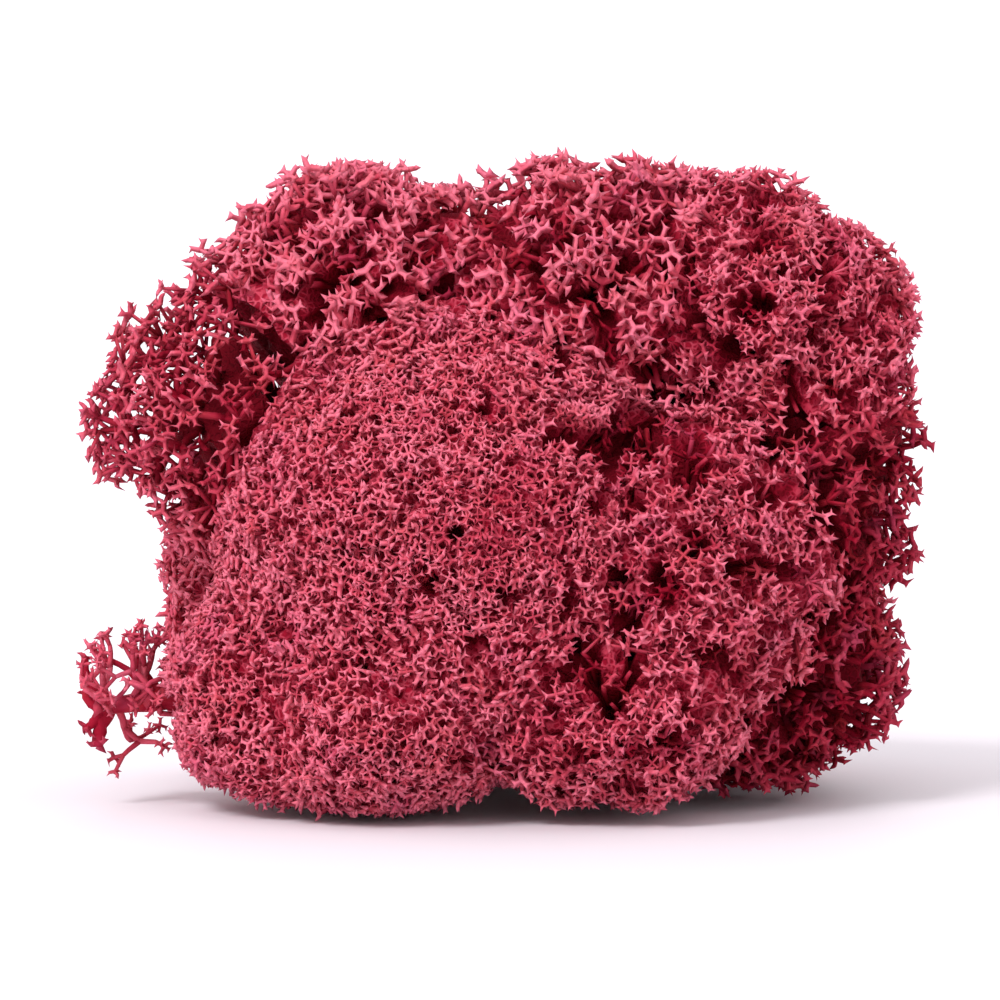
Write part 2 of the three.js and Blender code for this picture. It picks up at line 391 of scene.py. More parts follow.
class Head:
    """One head: the lumpy ball of its crown and the walls to its neighbours."""

    def __init__(self, gap_pattern, index, name, middle, radius, growth, rests):
        self.gap_pattern = gap_pattern
        self.index = index
        self.name = name
        self.middle = np.array(middle, float)
        self.radius = radius
        self.growth = GROWTHS[growth]
        self.rests = rests
        self.heading = unit(self.middle - STEM_FAN)
        self.random = np.random.default_rng(FIRST_SEED + index)
        lobes = max(FEWEST_LOBES, round(4 * math.pi * radius ** 2 / LOBE_SPACING ** 2))
        self.lobes = spread_directions(lobes, self.random, LOBE_JITTER)
        self.lobe_heights = self.random.uniform(*LOBE_SHARES, lobes) * LOBE_HEIGHT
        self.walls = []
        self.beside = []
        self.holes = []
        self.gap_level = statistics.NormalDist().inv_cdf(1 - self.growth["gaps"])

    def meet(self, other):
        """Adds the wall to another crown that is near: the plane where the two balls meet."""
        apart = np.linalg.norm(other.middle - self.middle)
        if apart < self.radius + other.radius + WALL_REACH:
            share = (apart ** 2 + self.radius ** 2 - other.radius ** 2) / (2 * apart ** 2)
            normal = unit(self.middle - other.middle)
            self.walls.append((normal, self.middle + (other.middle - self.middle) * share))
            self.beside.append(other)

    def front_of(self, right, height):
        """How far back this crown's front lies at a place of the front view."""
        flat = self.radius ** 2 - (right - self.middle[0]) ** 2 - (height - self.middle[2]) ** 2
        return self.middle[1] - math.sqrt(flat) if flat > 0 else math.inf

    def hollow(self, directions):
        """One in the middle of a gap or hole and none outside them, for each direction."""
        points = self.middle + directions * self.radius
        pattern = self.gap_pattern.at(points)
        level = self.gap_level - GAPS_TO_RIGHT * np.clip(points[:, 0] / CLUMP_REACH, -1, 1)
        hollow = np.clip((pattern - level) * GAP_EDGE, 0, 1)
        before = points[:, 1] < self.middle[1]
        for right, height, radius in self.holes:
            away = np.hypot(points[:, 0] - right, points[:, 2] - height)
            width = radius * (1 + HOLE_WOBBLE * pattern)
            hollow = np.maximum(hollow, np.clip(HOLE_EDGE * (1 - away / width), 0, 1) * before)
        return hollow

    def merged(self, directions):
        """How far the crown has merged with those beside it, from 0 to 1, in each direction."""
        points = self.middle + directions * self.radius
        merged = np.zeros(len(points))
        for other in self.beside:
            away = np.linalg.norm(points - other.middle, axis=1) - other.radius
            merged = np.maximum(merged, np.clip(1 - away / MERGE_REACH, 0, 1) ** 2)
        return merged

    def surface(self, directions):
        """The crown's radius in each direction, and how far the direction lies in a crease."""
        away = np.arccos(np.clip(directions @ self.lobes.T, -1, 1)) * self.radius
        order = np.sort(away, axis=1)
        height = self.lobe_heights[away.argmin(axis=1)]
        bump = height * np.clip(1 - (order[:, 0] / (LOBE_WIDTH * LOBE_SPACING)) ** 2, 0, 1)
        crease = np.clip(1 - (order[:, 1] - order[:, 0]) / CREASE_WIDTH, 0, 1)
        phases = self.index * WAVE_PHASES
        waves = np.sin(directions * WAVES + phases).sum(axis=1) * WAVE_HEIGHT * self.radius
        form = waves - LOBE_HEIGHT / 2 + bump - CREASE_DEPTH * crease
        merged = self.merged(directions)
        return self.radius + form * (1 - merged) + MERGE_RISE * merged, crease

    def place(self, directions, reach):
        """Points in each direction from the crown's middle, lowered to the ground if it rests."""
        offset = directions * reach[:, None]
        if self.rests:
            low = offset[:, 2] < 0
            offset[low, 2] *= (self.middle[2] - FOOT_GAP) / self.radius
        return self.middle + offset

    def depth_of(self, points):
        """How far below the crown's surface points lie."""
        offset = points - self.middle
        if self.rests:
            low = offset[:, 2] < 0
            offset[low, 2] *= self.radius / (self.middle[2] - FOOT_GAP)
        away = np.linalg.norm(offset, axis=1)
        reach, _ = self.surface(offset / np.maximum(away, TINY)[:, None])
        return reach - away

    def wall_room(self, points):
        """How far points are from the nearest wall, negative past it."""
        rooms = [(points - middle) @ normal for normal, middle in self.walls]
        return np.min(rooms, axis=0)

    def ring_of_points(self, spacing, depth, wobble, room):
        """Points spread over the crown below its surface, on this head's side of its walls."""
        radius = max(self.radius - depth, CORE_RADIUS)
        count = max(FEWEST_PLACES, places_on_ball(radius, spacing))
        directions = spread_directions(count, self.random, PLACE_JITTER * spacing / radius)
        reach, crease = self.surface(directions)
        reach = reach - depth + self.random.normal(0, wobble, count)
        points = drawn_in(self.place(directions, np.maximum(reach, LEAST_REACH)))
        kept = (self.wall_room(points) > room) & (points[:, 2] > TIP_FOOT)
        return points[kept], directions[kept], crease[kept]

    def sink(self, points, depth):
        """Points moved towards the crown's middle."""
        return points + unit(self.middle - points) * depth


# The mesh of a head

# What the material is told of each corner: how near it is to a branch's tip, where the material
# paints a highlight, how pale it is, partly its own tone and partly painted light and shade, how
# much it has faded to tan, how much painted shade darkens it at the bottom of a pit, gap or hole
# and how much darker the stub is, and whether it is of the close net, which the material darkens
# with painted shade.
LAYERS = ("tip", "tone", "age", "heart", "net")


def in_one_order(faces):
    """Triangles sorted, each from its lowest corner on. Blender's hull and mesh operators give
    them in another order at each run."""
    first = faces.argmin(axis=1)
    rows = np.arange(len(faces))
    rolled = np.stack([faces[rows, (first + step) % 3] for step in range(3)], axis=1)
    return rolled[np.lexsort(rolled.T[::-1])]


class Growth:
    """The triangles of one head as they are added, with what the material is told of them."""

    def __init__(self):
        self.points = []
        self.faces = []
        self.layers = {layer: [] for layer in LAYERS}
        self.count = 0

    def add(self, points, faces, **values):
        self.points.append(points)
        self.faces.append(faces + self.count)
        for layer, store in self.layers.items():
            value = values.get(layer, 0.0)
            store.append(np.broadcast_to(value, len(points)).astype(np.float32))
        self.count += len(points)

    def make_piece(self, name, head):
        points = np.concatenate(self.points)
        points[:, 2] = np.maximum(points[:, 2], 0)
        faces = in_one_order(np.concatenate(self.faces))
        mesh = bpy.data.meshes.new(name)
        mesh.vertices.add(len(points))
        mesh.vertices.foreach_set("co", (points * MM).astype(np.float32).ravel())
        mesh.loops.add(faces.size)
        mesh.loops.foreach_set("vertex_index", faces.astype(np.int32).ravel())
        mesh.polygons.add(len(faces))
        mesh.polygons.foreach_set("loop_start", np.arange(0, faces.size, 3, dtype=np.int32))
        mesh.update(calc_edges=True)
        mesh.shade_smooth()
        layers = {layer: np.concatenate(store) for layer, store in self.layers.items()}
        # How far below the crown's surface each corner lies, which the material paints as shade.
        layers["depth"] = np.clip(head.depth_of(points) / DEEPEST_SHADE, 0, 1)
        for layer, values in layers.items():
            attribute = mesh.attributes.new(layer, "FLOAT", "POINT")
            attribute.data.foreach_set("value", values.astype(np.float32))
        piece = bpy.data.objects.new(name, mesh)
        bpy.context.scene.collection.objects.link(piece)
        return piece


# The branch end, modelled a few times and copied to every twig

def deselect_everything():
    for thing in bpy.context.selected_objects:
        thing.select_set(False)


def select_face_near(place):
    """In edit mode, selects only the face nearest to a place."""
    bpy.ops.mesh.select_all(action="DESELECT")
    edited = bpy.context.edit_object.data
    faces = bmesh.from_edit_mesh(edited).faces
    min(faces, key=lambda face: (face.calc_center_median() - place).length).select_set(True)
    bmesh.update_edit_mesh(edited)


def selected_centre():
    faces = bmesh.from_edit_mesh(bpy.context.edit_object.data).faces
    return next(face.calc_center_median() for face in faces if face.select)


def draw_out(along, length, taper):
    """Extrudes the selected face and narrows its end."""
    bpy.ops.mesh.extrude_region_move(TRANSFORM_OT_translate={"value": along * length})
    bpy.ops.transform.resize(value=(taper,) * 3, center_override=selected_centre())


def draw_to_point(move):
    """Extrudes the selected face into a point."""
    bpy.ops.mesh.extrude_region_move(TRANSFORM_OT_translate={"value": move})
    bpy.ops.mesh.merge(type="CENTER")


def grow_arm(outward, random):
    """Draws an arm out of the hub's side, bends it and draws a second point out of the bend."""
    up = Vector((0, 0, 1))
    select_face_near(outward * HUB_RADIUS * HUB_SIDE_OUT - up * HUB_HEIGHT * HUB_SIDE_DOWN)
    along = (outward + up * between(ARM_LIFT, random)).normalized()
    draw_out(along, between(ARM_LENGTH, random), ARM_TAPER)
    elbow = selected_centre()
    side = outward.cross(up) * (1 if random.random() < 0.5 else -1)
    along = (along + side * between(ARM_BEND, random) + up * between(ARM_RISE, random)).normalized()
    draw_out(along, between(KNOT_LENGTH, random), KNOT_TAPER)
    knot = selected_centre()
    tip = (along + side * TIP_TURN + up * between(ARM_RISE, random)).normalized()
    draw_to_point(tip * between(TIP_LENGTH, random))
    select_face_near((elbow + knot) / 2 - side * HUB_RADIUS / 2)
    point = (along * POINT_AHEAD - side + up * between(ARM_RISE, random)).normalized()
    draw_to_point(point * between(POINT_LENGTH, random))


def model_sprig(arms, random):
    """A hub with arms round it. Its top lies at the origin."""
    deselect_everything()
    bpy.ops.mesh.primitive_cone_add(vertices=arms, radius1=HUB_RADIUS, radius2=0, depth=HUB_HEIGHT,
                                    location=(0, 0, -HUB_HEIGHT / 2))
    sprig = bpy.context.object
    bpy.ops.object.transform_apply(location=True, rotation=True, scale=True)
    bpy.ops.object.mode_set(mode="EDIT")
    bpy.ops.mesh.select_mode(type="FACE")
    for arm in range(arms):
        angle = (arm + 0.5) * 2 * math.pi / arms
        grow_arm(Vector((math.sin(angle), math.cos(angle), 0)), random)
    bpy.ops.mesh.select_all(action="SELECT")
    bpy.ops.mesh.quads_convert_to_tris()
    bpy.ops.object.mode_set(mode="OBJECT")
    points = np.array([vertex.co for vertex in sprig.data.vertices])
    faces = np.array([tuple(face.vertices) for face in sprig.data.polygons])
    bpy.data.objects.remove(sprig)
    return points, faces


def turned_to(directions, random):
    """For each direction a rotation that lays +Z along it, with a random twist."""
    side = unit(np.cross(cross_axis(directions, STEEP_SPRIG), directions))
    over = np.cross(directions, side)
    twist = random.uniform(0, 2 * math.pi, len(directions))[:, None]
    first = np.cos(twist) * side + np.sin(twist) * over
    second = np.cross(directions, first)
    return np.stack([first, second, directions], axis=2)


def add_sprigs(growth, sprigs, places, directions, sizes, tones, random):
    """Copies the modelled branch ends to their places."""
    kinds = random.integers(0, len(sprigs), len(places))
    turns = turned_to(directions, random)
    for kind, (shape, faces) in enumerate(sprigs):
        mine = np.flatnonzero(kinds == kind)
        if len(mine) == 0:
            continue
        copies = np.einsum("nij,vj->nvi", turns[mine], shape) * sizes[mine, None, None]
        copies += places[mine, None, :]
        corners = np.arange(len(mine))[:, None, None] * len(shape) + faces[None]
        # Nearer the ends of the arms the material paints a highlight.
        tip = np.clip(np.linalg.norm(shape, axis=1) / SPRIG_REACH, 0, 1)
        growth.add(copies.reshape(-1, 3), corners.reshape(-1, 3),
                   tip=np.tile(tip, len(mine)), tone=np.repeat(tones[mine], len(shape)))


# The twigs

def tube_faces(sides, steps):
    """The triangles of a closed tube, whose corners are counted ring by ring."""
    faces = []
    for step in range(steps):
        for k in range(sides):
            here = step * sides + k
            next_one = step * sides + (k + 1) % sides
            faces += [(here, here + sides, next_one + sides), (here, next_one + sides, next_one)]
    last = steps * sides
    for k in range(1, sides - 1):
        faces += [(0, k, k + 1), (last, last + k + 1, last + k)]
    return np.array(faces)


def rough_bark(steps, sides, random):
    """How much thicker or thinner a twig is than it should be, all over its length."""
    return random.uniform(*BARK, (steps + 1, sides, 1))


def add_twigs(growth, starts, ends, leave, arrive, radii, tones,
              sides=4, steps=3, bark=1.0, **values):
    """Adds curved twigs that taper from one radius to the other, with closed ends."""
    length = np.linalg.norm(ends - starts, axis=1)[:, None]
    t = np.linspace(0, 1, steps + 1)[None, :, None]
    after = starts + leave * length * CURVE_HANDLE
    before = ends - arrive * length * CURVE_HANDLE
    bends = [starts, after, before, ends]
    weights = [(1 - t) ** 3, 3 * t * (1 - t) ** 2, 3 * t ** 2 * (1 - t), t ** 3]
    line = sum(weight * bend[:, None, :] for weight, bend in zip(weights, bends))
    tangent = unit(np.gradient(line, axis=1))
    chord = unit(ends - starts)
    across = unit(np.cross(chord, cross_axis(chord, STEEP_TWIG)))
    side = unit(np.cross(tangent, across[:, None, :]))
    over = np.cross(tangent, side)
    angle = (np.arange(sides) * 2 * math.pi / sides)[:, None]
    radius = (radii[0] + (radii[1] - radii[0]) * t)[..., None]
    ring = np.cos(angle) * side[:, :, None, :] + np.sin(angle) * over[:, :, None, :]
    points = line[:, :, None, :] + ring * radius * bark
    each = (steps + 1) * sides
    corners = np.arange(len(starts))[:, None, None] * each + tube_faces(sides, steps)[None]
    growth.add(points.reshape(-1, 3), corners.reshape(-1, 3), tone=np.repeat(tones, each), **values)


# The close net

def net_faces(directions):
    """The triangles of the net that joins directions spread over a ball."""
    hull = bmesh.new()
    for direction in directions:
        hull.verts.new(direction)
    bmesh.ops.convex_hull(hull, input=list(hull.verts))
    hull.verts.index_update()
    faces = np.array([[vertex.index for vertex in face.verts] for face in hull.faces])
    hull.free()
    return faces


def choose_pits(faces, count, random):
    """Picks corners of the net as the bottoms of its meshes, no two of them beside each other."""
    edges = np.concatenate([faces[:, :2], faces[:, 1:], faces[:, ::2]])
    one, other = np.concatenate([edges, edges[:, ::-1]]).T
    rank = random.random(count)
    pits = np.zeros(count, bool)
    free = np.ones(count, bool)
    for _ in range(PIT_ROUNDS):
        value = np.where(free, rank, -1)
        highest = np.full(count, -1.0)
        np.maximum.at(highest, one, value[other])
        chosen = free & (value > highest)
        pits |= chosen
        free &= ~chosen
        free[one[chosen[other]]] = False
    return pits


def add_net(growth, head):
    """The close net of twigs under the branch ends, its meshes darkened with painted shade, and
    deep and darkened where a hole is.
    """
    mesh = head.growth["mesh"]
    net_depth = head.growth["net"]
    random = head.random
    radius = head.radius - net_depth
    count = places_on_ball(radius, mesh)
    directions = spread_directions(count, random, MESH_JITTER * mesh / radius)
    reach, _ = head.surface(directions)
    hidden = head.wall_room(head.place(directions, reach)) < -HIDDEN_ROOM
    kept = ~hidden | (np.arange(count) % HIDDEN_STEP == 0)
    directions = directions[kept]
    count = len(directions)
    faces = net_faces(directions)
    pits = choose_pits(faces, count, random)
    hollow = head.hollow(directions)
    merged = head.merged(directions) if net_depth < OPEN_NET else 0
    depth = net_depth + (WALL_NET_DEPTH - net_depth) * merged
    reach = reach[kept] - depth + random.normal(0, NET_ROUGHNESS, count)
    reach -= hollow * (HOLE_DEPTH + random.normal(0, HOLE_ROUGHNESS, count))
    reach -= pits * random.uniform(*PIT_DEPTH, count) * mesh / GROWTHS["fine"]["mesh"]
    points = head.place(directions, np.maximum(reach, NET_CORE))
    for normal, middle in head.walls:
        rough = random.uniform(0, CAP_ROUGHNESS, count) + CAP_ROUGHNESS * pits
        past = np.clip((points - middle) @ normal + WALL_OVERLAP - rough, None, 0)
        points -= past[:, None] * normal
    points[:, 2] = np.maximum(points[:, 2], FOOT_GAP)
    # The bottoms of the meshes and the gaps and holes are darkened with painted shade.
    growth.add(points, faces, tone=head.growth["paleness_light_and_shade"], heart=np.maximum(pits, hollow), net=1.0)


# The branches of a head

def branch_rings(head):
    """The places of branch ends, forks and roots, each with the direction outward, from the
    outermost ring inwards, how thick the branches are at each ring, and how sunk each end is."""
    spacing = head.growth["spacing"]
    size = head.growth["size"]
    net_depth = head.growth["net"]
    ragged = head.growth["ragged"]
    points, outward, crease = head.ring_of_points(spacing, END_DEPTH, ragged, -TIP_OVERLAP)
    hollow = head.hollow(outward)
    lacking = np.maximum(CREASE_THINNING * crease, GAP_THINNING * hollow)
    kept = head.random.random(len(points)) > lacking
    points, outward, sunk = points[kept], outward[kept], hollow[kept]
    rings = [(head.sink(points, (SUNK_DEPTH * sunk)[:, None]), outward)]
    radii = [END_RADIUS * size]
    depth = END_DEPTH
    # What is left for the roots to sink, because the branch ends have sunk part of the way.
    deeper = HOLE_DEPTH - SUNK_DEPTH
    for ring in FORK_RINGS:
        if ring["depth"] > net_depth:
            break
        depth = ring["depth"]
        deeper = HOLE_DEPTH
        apart = spacing * ring["apart"]
        points, outward, _ = head.ring_of_points(apart, depth, FORK_WOBBLE, FORK_ROOM)
        rings.append((points, outward))
        radii.append(ring["radius"] * size)
    points, outward = rings[-1]
    root_depth = net_depth + ROOT_DEPTH - depth + deeper * head.hollow(outward)
    rings.append((head.sink(points, root_depth[:, None]), outward))
    radii.append(min(radii[-1] * ROOT_THICKENING, ROOT_RADIUS))
    return rings, radii, sunk


def add_branches(growth, sprigs, head):
    """Joins the rings by curved twigs, from the roots outwards, and puts on the branch ends."""
    random = head.random
    size = head.growth["size"]
    rings, radii, sunk = branch_rings(head)
    innermost = len(rings) - 2
    _, parent_aims = rings[-1]
    for level in range(innermost, -1, -1):
        points, outward = rings[level]
        parents, _ = rings[level + 1]
        chosen = np.arange(len(points)) if level == innermost else nearest(points, parents)
        chord = unit(points - parents[chosen] + TINY)
        spread = random.normal(0, AIM_SPREAD, points.shape)
        aims = unit(outward * AIM_OUTWARD + chord * AIM_AHEAD + spread)
        leave = unit(parent_aims[chosen] + chord + random.normal(0, LEAVE_SPREAD, points.shape))
        tones = head.growth["paleness_light_and_shade"] + random.normal(0, TONE_SPREAD, len(points))
        thickness = (radii[level + 1], radii[level])
        if level > 0:
            add_twigs(growth, parents[chosen], points, leave, aims, thickness, tones)
            parent_aims = aims
    # The outermost twigs, which the loop came to last, are plainer and end under the hubs.
    # In a gap those twigs and their branch ends are darkened with painted shade.
    tones -= GAP_SHADE * sunk
    under_hubs = points - aims * HUB_SINK * HUB_HEIGHT * size
    add_twigs(growth, parents[chosen], under_hubs, leave, aims, thickness, tones, sides=3, steps=1)
    sizes = size * random.uniform(*SPRIG_SIZES, len(points))
    add_sprigs(growth, sprigs, points, aims, sizes, tones, random)


def add_stem(growth, sprigs, head):
    """The stem, from its pale cut end on the ground to the middle of its crown."""
    random = head.random
    thin, thick = STEM_RADII
    distance = np.linalg.norm(head.middle - STEM_FAN)
    start = STEM_FAN + head.heading * STEM_START
    start[2] = max(start[2], thin)
    cut = start + head.heading * CUT_LENGTH
    cut[2] = max(cut[2], thin)
    end = head.middle - head.heading * head.radius * STEM_END
    up = np.array([[0.0, 0.0, STEM_SAG * distance / head.radius]])
    leave = unit(head.heading[None] - up * STEM_DIP)
    arrive = unit(head.heading[None] + up)
    tone = np.full(1, STEM_TONE)
    add_twigs(growth, start[None], cut[None], leave, leave, (thin, thin * CUT_FLARE), tone,
              sides=THICK_SIDES, steps=CUT_STEPS, age=1.0)
    bark = rough_bark(STEM_STEPS, THICK_SIDES, random)
    add_twigs(growth, cut[None], end[None], leave, arrive, (thin * CUT_FLARE, thick), tone,
              sides=THICK_SIDES, steps=STEM_STEPS, bark=bark, age=STEM_AGE)
    roots = cut + (end - cut) * random.uniform(*SPUR_SHARE, (STEM_SPURS, 1))
    aims = unit(head.heading * SPUR_AHEAD + random.normal(0, SPUR_SPREAD, roots.shape))
    tips = roots + aims * (thick + random.uniform(*SPUR_LENGTH, (STEM_SPURS, 1)))
    tips[:, 2] = np.maximum(tips[:, 2], TIP_FOOT)
    tones = random.uniform(STEM_TONE, 0, STEM_SPURS)
    add_twigs(growth, roots, tips, aims, aims, SPUR_RADII, tones)
    add_sprigs(growth, sprigs, tips, aims, np.full(STEM_SPURS, SPUR_SPRIG), tones, random)


def add_stub(growth, sprigs, random):
    """The bare forked stub at the left foot, with small branch ends on its twigs."""
    tone = np.full(1, STUB_TONE)
    for start, end, radii, bow in STUB_TWIGS:
        start, end = np.array([start], float), np.array([end], float)
        along = unit(end - start)
        bend = np.array([bow], float)
        leave, arrive = unit(along + bend), unit(along - bend)
        bark = rough_bark(STUB_STEPS, THICK_SIDES, random)
        add_twigs(growth, start, end, leave, arrive, radii, tone,
                  sides=THICK_SIDES, steps=STUB_STEPS, bark=bark, heart=STUB_HEART)
        add_sprigs(growth, sprigs, end, arrive, np.full(1, radii[1] * STUB_SPRIG), tone, random)
    add_shoots(growth, sprigs, random)


def add_shoots(growth, sprigs, random):
    """The shoots that stand on the stub and fork again and again into a small bush."""
    start, end = (np.array(place, float) for place in STUB_TWIGS[0][:2])
    points = start + (end - start) * np.linspace(*SHOOT_BASE, SHOOTS)[:, None]
    aims = unit(np.array([0, 0, 1]) + random.normal(0, SHOOT_SPREAD, points.shape))
    for length, radii in SHOOT_STAGES:
        count = len(points)
        aims = unit(aims + [0, 0, SHOOT_RISE])
        ends = points + aims * length * random.uniform(*SHOOT_LENGTHS, (count, 1))
        ends[:, 0] = np.maximum(ends[:, 0], SHOOT_LIMIT)
        arrive = unit(aims + random.normal(0, SHOOT_CURL, aims.shape))
        tones = SHOOT_TONE + random.normal(0, SHOOT_TONE_SPREAD, count)
        add_twigs(growth, points, ends, aims, arrive, radii, tones)
        points, aims = np.repeat(ends, 2, axis=0), np.repeat(arrive, 2, axis=0)
        aims = unit(aims + random.normal(0, SHOOT_SPREAD, aims.shape))
    add_sprigs(growth, sprigs, ends, arrive, random.uniform(*SHOOT_SPRIGS, count), tones, random)


# Materials

class Value:
    """A shader socket on which Python's operators build Math nodes."""

    def __init__(self, tree, socket):
        self.tree = tree
        self.socket = socket

    def math(self, operation, *others, swap=False):
        inputs = [self, *others]
        if swap:
            inputs.reverse()
        return self.tree.node("ShaderNodeMath", {"operation": operation}, dict(enumerate(inputs)))

    def __add__(self, other):
        return self.math("ADD", other)

    __radd__ = __add__

    def __mul__(self, other):
        return self.math("MULTIPLY", other)

    __rmul__ = __mul__

    def __sub__(self, other):
        return self.math("SUBTRACT", other)

    def __rsub__(self, other):
        return self.math("SUBTRACT", other, swap=True)


class Finish:
    """A material whose nodes are written as expressions."""

    def __init__(self, name):
        self.material = bpy.data.materials.new(name)
        self.material.use_nodes = True
        self.nodes = self.material.node_tree.nodes
        self.links = self.material.node_tree.links
        self.shader = self.nodes["Principled BSDF"]

    def node(self, kind, settings=None, inputs=None, output=0):
        made = self.nodes.new(kind)
        for key, value in (settings or {}).items():
            if key == "stops":
                self.set_stops(made.color_ramp, value)
            else:
                setattr(made, key, value)
        for key, value in (inputs or {}).items():
            self.feed(made.inputs[key], value)
        return Value(self, made.outputs[output])

    def set_stops(self, ramp, stops):
        while len(ramp.elements) < len(stops):
            ramp.elements.new(0.5)
        for element, (position, colour) in zip(ramp.elements, stops):
            element.position = position
            element.color = (*colour, 1)

    def feed(self, socket, value):
        if isinstance(value, Value):
            self.links.new(value.socket, socket)
        else:
            socket.default_value = value

    def place(self):
        return self.node("ShaderNodeTexCoord", output="Object")

    def attribute(self, name):
        return self.node("ShaderNodeAttribute", {"attribute_name": name}, output="Fac")

    def noise(self, place, scale, detail=3.0):
        inputs = {"Vector": place, "Scale": scale, "Detail": detail}
        return self.node("ShaderNodeTexNoise", None, inputs)

    def ramp(self, value, start, end, inputs=None):
        """A value that goes from 0 to 1 while another goes from start to end."""
        reach = {"Value": value, "From Min": start, "From Max": end}
        return self.node("ShaderNodeMapRange", None, {**reach, **(inputs or {})})

    def mix(self, share, one, other):
        """A colour that goes from one to the other as the share goes from 0 to 1."""
        inputs = {0: share, 6: one, 7: other}
        return self.node("ShaderNodeMix", {"data_type": "RGBA"}, inputs, output=2)


def linear(red, green, blue):
    """A colour given as 0 to 255 in sRGB, as the shader wants it."""
    return tuple(((c / 255 + 0.055) / 1.055) ** 2.4 if c > 10 else c / 255 / 12.92
                 for c in (red, green, blue))


# The colours from the branch ends inwards to the heart of the clump: the wine-red dye, paler at the
# ends as a painted highlight and darker inwards as painted shade, the warm and the mauve patches in
# it, and the tan of a cut end.
TIP_HIGHLIGHT_PINK = linear(230, 116, 138)
LIVELY_RED = linear(202, 76, 97)
WINE = linear(170, 42, 65)
SHADED_WINE = linear(146, 8, 38)
DARKEST_SHADE = linear(116, 2, 24)
DYE_LIGHT_AND_SHADE_STOPS = (
    (0.0, TIP_HIGHLIGHT_PINK),
    (0.16, LIVELY_RED),
    (0.38, WINE),
    (0.68, SHADED_WINE),
    (1.0, DARKEST_SHADE),
)
WARM_RED = (*linear(190, 62, 62), 1)
MAUVE = (*linear(190, 74, 112), 1)
CUT_TAN = (*linear(150, 98, 80), 1)

# How fine the patterns in the dye and the net's painted shade are, in waves or cells a metre.
PATCH_SCALE = 70.0
WARM_SCALE = 210.0
MAUVE_SCALE = 150.0
GRAIN_SCALE = 2600.0
GRAIN_DETAIL = 2.0
NET_CELLS = 1150.0

# Where the ridges of the net's cells end and begin, between the cells darkened with painted shade,
# and where warm and mauve patches do, in their patterns' own values, and how strong the patches
# are.
RIDGE_RANGE = (0.08, 0.26)
WARM_RANGE = (0.5, 0.72)
MAUVE_RANGE = (0.46, 0.3)
PATCH_STRENGTH = 0.4

# How dark the dye is at the surface, and how much these change it: the painted highlight at the
# tips, the paleness with its painted light and shade, the patches, the grain, the painted shade in
# pits, gaps and holes together with the darker stub, and the painted shade of the net, lighter on
# its ridges. Then how much less the patches show on the net.
SURFACE_LEVEL = 0.12
TIP_HIGHLIGHT_LEVEL = 0.16
TONE_LEVEL = 0.2
PATCH_LEVEL = 0.25
GRAIN_LEVEL = 0.12
HEART_LEVEL = 0.45
NET_SHADE_LEVEL = 0.3
RIDGE_LEVEL = 0.42
NET_PLAINNESS = 0.7

# The surface of a branchlet: matt, with a fine grain, and with a relief on the net.
ROUGHNESS = 0.68
GRAIN_ROUGHNESS = 0.2
SPECULAR = 0.12
BUMP_STRENGTH = 0.6
BUMP_DISTANCE = 0.00015
GRAIN_RELIEF = 0.4
RIDGE_RELIEF = 2.0


def dyed_lichen():
    finish = Finish("dyed_lichen")
    place = finish.place()
    depth = finish.attribute("depth")
    tip = finish.attribute("tip")
    tone = finish.attribute("tone")
    age = finish.attribute("age")
    heart = finish.attribute("heart")
    patches = finish.noise(place, PATCH_SCALE)
    grain = finish.noise(place, GRAIN_SCALE, GRAIN_DETAIL)
    net = finish.attribute("net")
    # The net's cells are painted darker than their ridges, as painted shade between its twigs; the
    # ridges also raise its relief.
    cells = finish.node("ShaderNodeTexVoronoi", {"feature": "DISTANCE_TO_EDGE"},
                        {"Vector": place, "Scale": NET_CELLS})
    ridge = finish.ramp(cells, *RIDGE_RANGE, {"To Min": 1.0, "To Max": 0.0})
    # Paler at the tips as a painted highlight, and darker with depth, in pits, gaps and holes and
    # on the net as painted shade.
    level = depth + SURFACE_LEVEL - TIP_HIGHLIGHT_LEVEL * tip - TONE_LEVEL * tone
    level = level + (patches - 0.5) * PATCH_LEVEL + (grain - 0.5) * GRAIN_LEVEL
    level = level + heart * HEART_LEVEL + net * (NET_SHADE_LEVEL - RIDGE_LEVEL * ridge)
    dye_light_and_shade = finish.node("ShaderNodeValToRGB", {"stops": DYE_LIGHT_AND_SHADE_STOPS}, {"Fac": level})
    warmth = finish.ramp(finish.noise(place, WARM_SCALE), *WARM_RANGE)
    coolness = finish.ramp(finish.noise(place, MAUVE_SCALE), *MAUVE_RANGE)
    patched = finish.mix(warmth * PATCH_STRENGTH, dye_light_and_shade, WARM_RED)
    patched = finish.mix(coolness * PATCH_STRENGTH, patched, MAUVE)
    shaded = finish.mix(depth + net * NET_PLAINNESS, patched, dye_light_and_shade)
    coloured = finish.mix(age, shaded, CUT_TAN)
    finish.feed(finish.shader.inputs["Base Color"], coloured)
    finish.feed(finish.shader.inputs["Roughness"], ROUGHNESS + GRAIN_ROUGHNESS * grain)
    finish.shader.inputs["Specular IOR Level"].default_value = SPECULAR
    relief = GRAIN_RELIEF * grain + RIDGE_RELIEF * ridge * net
    bump = finish.node("ShaderNodeBump", None,
                       {"Strength": BUMP_STRENGTH, "Distance": BUMP_DISTANCE, "Height": relief})
    finish.feed(finish.shader.inputs["Normal"], bump)
    return finish.material


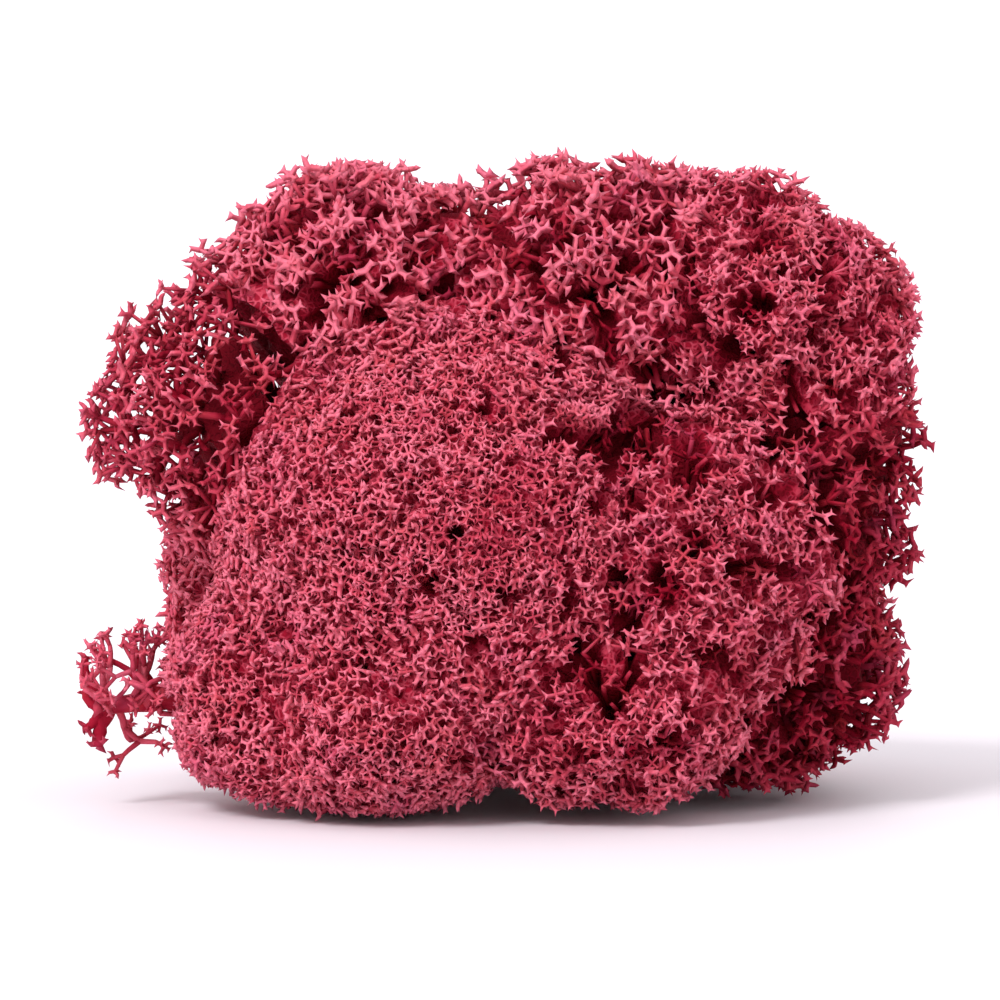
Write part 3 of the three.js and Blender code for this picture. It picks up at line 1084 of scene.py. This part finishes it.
# The stage: a floor, soft white light from all round, a large soft light from the upper left,
# and a camera that looks almost level at the front.
FLOOR_SIZE = 12
FLOOR_COLOURS = ((0.80, 0.74, 0.81, 1), (0.84, 0.79, 0.85, 1))
FLOOR_CLOUDS = 3.0
FLOOR_ROUGHNESS = 0.6
AROUND_STRENGTH = 1.12
KEY_PLACE = (-0.5, -0.7, 0.9)
KEY_SOFTNESS = 18
KEY_STRENGTH = 2.0
CAMERA_TARGET = Vector((0.0, -0.02, 0.039))
CAMERA_ELEVATION = 4.5
CAMERA_LENS = 250
CAMERA_DISTANCE = 0.86


def pale_floor():
    finish = Finish("pale_floor")
    colour = finish.mix(finish.noise(finish.place(), FLOOR_CLOUDS), *FLOOR_COLOURS)
    finish.feed(finish.shader.inputs["Base Color"], colour)
    finish.shader.inputs["Roughness"].default_value = FLOOR_ROUGHNESS
    return finish.material


def look_at(thing, target):
    thing.rotation_euler = (Vector(target) - thing.location).to_track_quat("-Z", "Y").to_euler()


def make_camera():
    bpy.ops.object.camera_add()
    camera = bpy.context.object
    camera.name = "camera"
    camera.data.lens = CAMERA_LENS
    elevation = math.radians(CAMERA_ELEVATION)
    toward = Vector((0, -math.cos(elevation), math.sin(elevation)))
    camera.location = CAMERA_TARGET + toward * CAMERA_DISTANCE
    look_at(camera, CAMERA_TARGET)
    bpy.context.scene.camera = camera


def make_floor():
    deselect_everything()
    bpy.ops.mesh.primitive_plane_add(size=FLOOR_SIZE, location=(0, 0, 0))
    floor = bpy.context.object
    floor.name = "floor"
    floor.data.materials.append(pale_floor())


def make_lights():
    world = bpy.data.worlds.new("studio")
    bpy.context.scene.world = world
    world.use_nodes = True
    background = world.node_tree.nodes["Background"]
    background.inputs["Color"].default_value = (1, 1, 1, 1)
    background.inputs["Strength"].default_value = AROUND_STRENGTH
    bpy.context.scene.view_settings.view_transform = "Standard"
    bpy.ops.object.light_add(type="SUN", location=KEY_PLACE)
    key = bpy.context.object
    key.name = "key"
    key.data.angle = math.radians(KEY_SOFTNESS)
    key.data.energy = KEY_STRENGTH
    look_at(key, CAMERA_TARGET)


# The clump

def dig_front_holes(heads):
    """Digs each large hole into the foremost crown there and those close behind it."""
    for hole in FRONT_HOLES:
        fronts = [head.front_of(*hole[:2]) for head in heads]
        for head, front in zip(heads, fronts):
            if front < min(fronts) + HOLE_DEPTH:
                head.holes.append(hole)


def make_heads(gap_pattern):
    heads = [Head(gap_pattern, index, *row) for index, row in enumerate(HEADS)]
    for head in heads:
        for other in heads:
            if other is not head:
                head.meet(other)
    dig_front_holes(heads)
    return heads


def grow_head(head, sprigs):
    growth = Growth()
    add_branches(growth, sprigs, head)
    add_net(growth, head)
    add_stem(growth, sprigs, head)
    if head.name == STUB_HEAD:
        add_stub(growth, sprigs, head.random)
    return growth.make_piece(head.name + "_branchlets", head)


def dress_frame():
    random = np.random.default_rng(FIRST_SEED)
    sprigs = [model_sprig(arms, random) for arms in ARMS_OF_SPRIGS]
    heads = make_heads(GapPattern(random))
    finish = dyed_lichen()
    for head in heads:
        piece = grow_head(head, sprigs)
        piece.data.materials.append(finish)
        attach(piece, BODY)
        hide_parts(head.name)


make_camera()
make_floor()
make_lights()
dress_frame()
